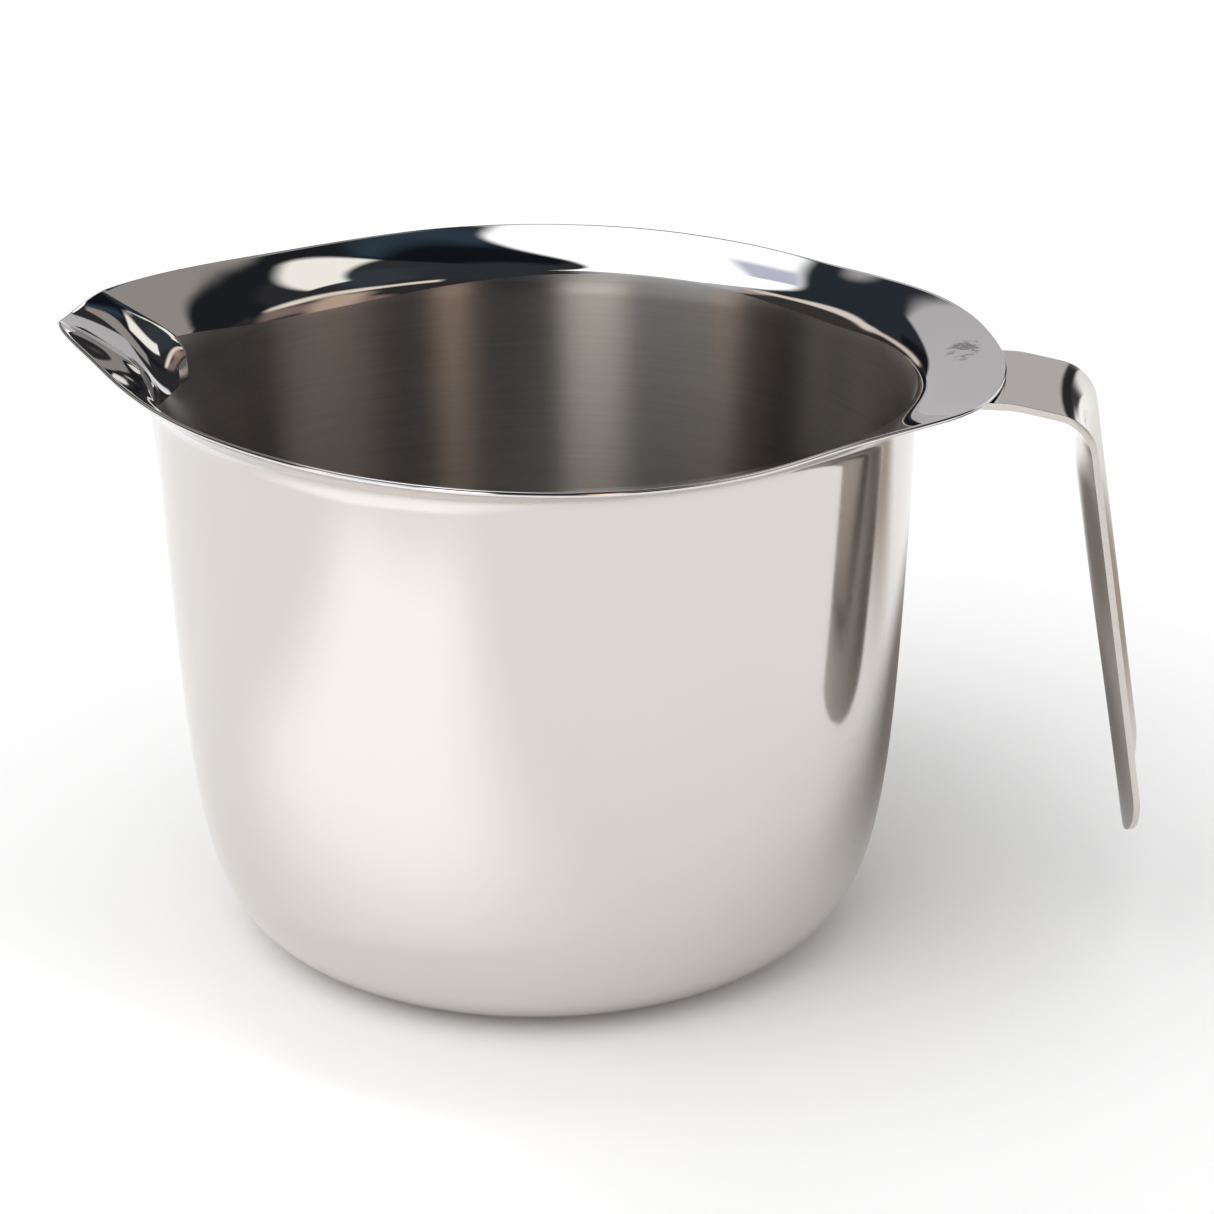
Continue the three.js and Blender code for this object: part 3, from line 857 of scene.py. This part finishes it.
def addFlagOrPaintedShadow(name, place, tip, turn, size, colour):
    # A soft-edged card that only the steel sees: a flag card as round a product shot, or a dark sheet
    # on the floor that is painted shadow.
    mesh = bpy.data.meshes.new(name)
    corners = [Vector((x, y, 0)) for x, y in ((-1, -1), (1, -1), (1, 1), (-1, 1))]
    turned = Matrix.Rotation(math.radians(turn), 4, "Z") @ Matrix.Rotation(math.radians(tip), 4, "X")
    matrix = Matrix.Translation(place) @ turned @ Matrix.Diagonal((*size, 1, 1))
    mesh.from_pydata([matrix @ c for c in corners], [], [(0, 1, 2, 3)])
    mesh.uv_layers.new().data.foreach_set("uv", [0, 0, 1, 0, 1, 1, 0, 1])
    card = bpy.data.objects.new(name, mesh)
    bpy.context.scene.collection.objects.link(card)
    for ray in ("camera", "diffuse", "shadow"):
        setattr(card, "visible_" + ray, False)
    cardMaterial = bpy.data.materials.new(name)
    cardMaterial.use_nodes = True
    tree = cardMaterial.node_tree
    tree.nodes.clear()
    uv = addNode(tree, "ShaderNodeTexCoord").outputs["UV"]
    off = addNode(
        tree, "ShaderNodeVectorMath", {"operation": "DISTANCE"}, {0: uv, 1: (0.5, 0.5, 0)}
    ).outputs["Value"]
    clear = addNode(
        tree,
        "ShaderNodeMapRange",
        {"interpolation_type": "SMOOTHSTEP"},
        {0: off, 1: 0.1, 2: 0.5, 3: 0.0, 4: 1.0},
    )
    dark = addNode(tree, "ShaderNodeEmission", inputs={"Color": linear(colour)})
    mixed = addNode(
        tree,
        "ShaderNodeMixShader",
        inputs={0: clear, 1: dark.outputs[0], 2: addNode(tree, "ShaderNodeBsdfTransparent").outputs[0]},
    )
    addNode(tree, "ShaderNodeOutputMaterial", inputs={"Surface": mixed.outputs[0]})
    mesh.materials.append(cardMaterial)


def addStudio():
    mesh = bpy.data.meshes.new("floor")
    reach = studio["floorReach"]
    corners = [(-reach, -reach, 0), (reach, -reach, 0), (reach, reach, 0), (-reach, reach, 0)]
    mesh.from_pydata(corners, [], [(0, 1, 2, 3)])
    floor = bpy.data.objects.new("floor", mesh)
    bpy.context.scene.collection.objects.link(floor)
    paint = bpy.data.materials.new("whiteSweep")
    paint.use_nodes = True
    shader = paint.node_tree.nodes["Principled BSDF"]
    shader.inputs["Base Color"].default_value = linear(studio["floorColour"])
    shader.inputs["Roughness"].default_value = 0.9
    shader.inputs["Specular IOR Level"].default_value = 0.0
    mesh.materials.append(paint)

    sunData = bpy.data.lights.new("key", "SUN")
    sunData.energy = studio["sun"]
    sunData.angle = math.radians(studio["sunSpread"])
    sun = bpy.data.objects.new("key", sunData)
    sun.visible_glossy = False
    bearing, elevation = math.radians(studio["sunBearing"]), math.radians(studio["sunElevation"])
    toSun = Vector(
        (
            math.sin(bearing) * math.cos(elevation),
            math.cos(bearing) * math.cos(elevation),
            math.sin(elevation),
        )
    )
    sun.rotation_euler = toSun.to_track_quat("Z", "Y").to_euler()
    bpy.context.scene.collection.objects.link(sun)

    for name, (place, tip, turn, size, colour) in studio["flagsAndPaintedShadows"].items():
        addFlagOrPaintedShadow(name, place, tip, turn, size, colour)

    pool = bpy.data.lights.new("pool", "AREA")
    pool.shape = "RECTANGLE"
    pool.size, pool.size_y = studio["poolSize"]
    pool.energy = studio["pool"]
    pool.spread = math.radians(studio["poolSpread"])
    lamp = bpy.data.objects.new("pool", pool)
    lamp.location = studio["poolPlace"]
    lamp.rotation_euler = (0, 0, math.radians(studio["poolTurn"]))
    lamp.visible_glossy = False
    bpy.context.scene.collection.objects.link(lamp)

    world = bpy.data.worlds.new("studio")
    bpy.context.scene.world = world
    world.use_nodes = True
    tree = world.node_tree
    tree.nodes.clear()
    way = addNode(tree, "ShaderNodeTexCoord").outputs["Generated"]
    part = addNode(tree, "ShaderNodeSeparateXYZ", inputs={0: way}).outputs
    bearing = addNode(tree, "ShaderNodeMath", {"operation": "ARCTAN2"}, {0: part["X"], 1: part["Y"]})
    turn = addNode(tree, "ShaderNodeMath", {"operation": "DEGREES"}, {0: bearing})
    height = addNode(tree, "ShaderNodeMath", {"operation": "ARCSINE"}, {0: part["Z"]})
    rise = addNode(tree, "ShaderNodeMath", {"operation": "DEGREES"}, {0: height})
    place = addNode(tree, "ShaderNodeCombineXYZ", inputs={"X": turn, "Y": rise}).outputs[0]
    colour = addNode(tree, "ShaderNodeRGB").outputs[0]
    colour.default_value = linear(studio["base"])
    for bearing, elevation, width, height, tilt, soft, shade, power in studio["patches"].values():
        off = addNode(
            tree,
            "ShaderNodeVectorMath",
            {"operation": "SUBTRACT"},
            {0: place, 1: (bearing, elevation, 0)},
        )
        off = addNode(
            tree,
            "ShaderNodeVectorMath",
            {"operation": "WRAP"},
            {0: off.outputs[0], 1: (180, 180, 1), 2: (-180, -180, -1)},
        )
        turned = addNode(
            tree,
            "ShaderNodeVectorRotate",
            {"rotation_type": "Z_AXIS"},
            {"Vector": off.outputs[0], "Angle": math.radians(-tilt)},
        )
        size = addNode(tree, "ShaderNodeVectorMath", {"operation": "ABSOLUTE"}, {0: turned.outputs[0]})
        side = addNode(tree, "ShaderNodeSeparateXYZ", inputs={0: size.outputs[0]}).outputs
        fades = [
            addNode(
                tree,
                "ShaderNodeMapRange",
                {"interpolation_type": "SMOOTHSTEP"},
                {0: side[axis], 1: half - soft, 2: half + soft, 3: 1.0, 4: 0.0},
            )
            for axis, half in (("X", width), ("Y", height))
        ]
        mask = addNode(tree, "ShaderNodeMath", {"operation": "MULTIPLY"}, {0: fades[0], 1: fades[1]})
        bright = [c * power for c in linear(shade)[:3]] + [1]
        colour = addNode(
            tree, "ShaderNodeMix", {"data_type": "RGBA"}, {"Factor": mask, "A": colour, "B": bright}
        ).outputs["Result"]
    mirrored = addNode(tree, "ShaderNodeBackground", inputs={"Color": colour})
    ray = addNode(tree, "ShaderNodeLightPath").outputs
    bright = addNode(
        tree,
        "ShaderNodeMapRange",
        inputs={0: ray["Is Camera Ray"], 1: 0.0, 2: 1.0, 3: studio["ambient"], 4: 1.0},
    )
    lit = addNode(tree, "ShaderNodeBackground", inputs={"Color": (1, 1, 1, 1), "Strength": bright})
    mixed = addNode(
        tree,
        "ShaderNodeMixShader",
        inputs={0: ray["Is Glossy Ray"], 1: lit.outputs[0], 2: mirrored.outputs[0]},
    )
    addNode(tree, "ShaderNodeOutputWorld", inputs={"Surface": mixed.outputs[0]})


addCamera()
bpy.context.scene.view_settings.view_transform = "Standard"
print("camera placed")
insideSteel()
wallSteel()
lipSteel()
handleSteel()
edgeSteel()
weldSteel()
print("steels made")
bowlPiece = buildBowl()
for name in ("brushedStainlessInside", "buffedStainlessWall", "mirrorPolishedStainlessLip"):
    bowlPiece.data.materials.append(bpy.data.materials[name])
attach(bowlPiece, "root")
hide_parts("bowl")
print("bowl made")
handlePiece = buildHandle(bpy.data.materials["buffedStainlessHandle"])
handlePiece.data.materials.append(bpy.data.materials["tumbledStainlessEdge"])
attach(handlePiece, "root")
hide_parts("handle")
print("handle made")
weldPiece = buildWelds(bpy.data.materials["dullWeldSteel"])
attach(weldPiece, "root")
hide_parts("handle_weld_1", "handle_weld_2")
print("welds made")
addStudio()
print("studio lit")
